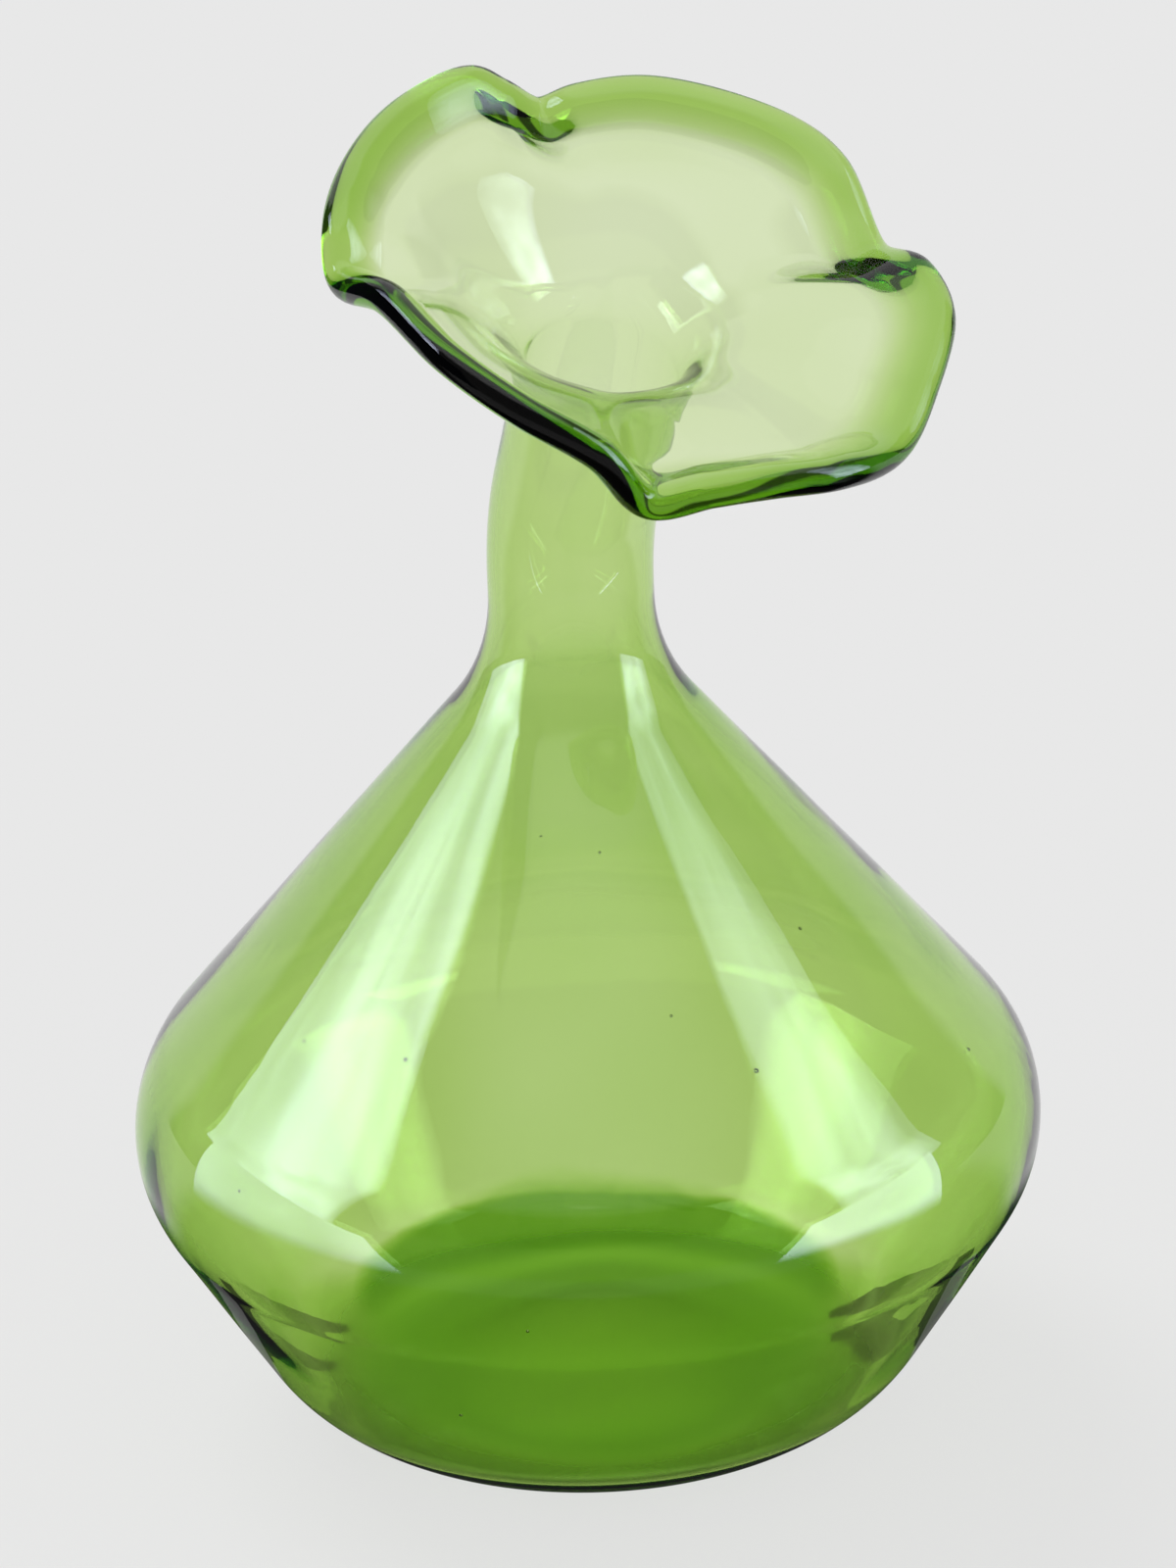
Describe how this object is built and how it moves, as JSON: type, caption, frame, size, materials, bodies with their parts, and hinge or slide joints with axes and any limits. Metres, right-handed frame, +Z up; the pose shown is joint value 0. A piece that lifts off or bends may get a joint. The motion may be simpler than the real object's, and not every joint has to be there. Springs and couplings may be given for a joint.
{
  "type": "angled neck vase",
  "caption": "Transparent green glass vase with a wide double-cone body, a narrow neck bent to one side and a ruffled flared mouth with a thick rounded rim.",
  "frame": {"origin": "on the upright axis of the round body, on the surface that the foot ring stands on", "axes": "+Z up along the body's axis; -Y is the front, which the mouth leans towards; +X is to the right of the front"},
  "size_m": [0.19, 0.19, 0.2876],
  "materials": {
    "green_glass": "clear transparent green glass, fire-polished, deeper green where it is thick"
  },
  "bodies": {
    "root": {"base": "green_glass", "belly": "green_glass", "shoulder": "green_glass", "neck": "green_glass", "mouth": "green_glass", "rim": "green_glass"}
  },
  "joints": []
}
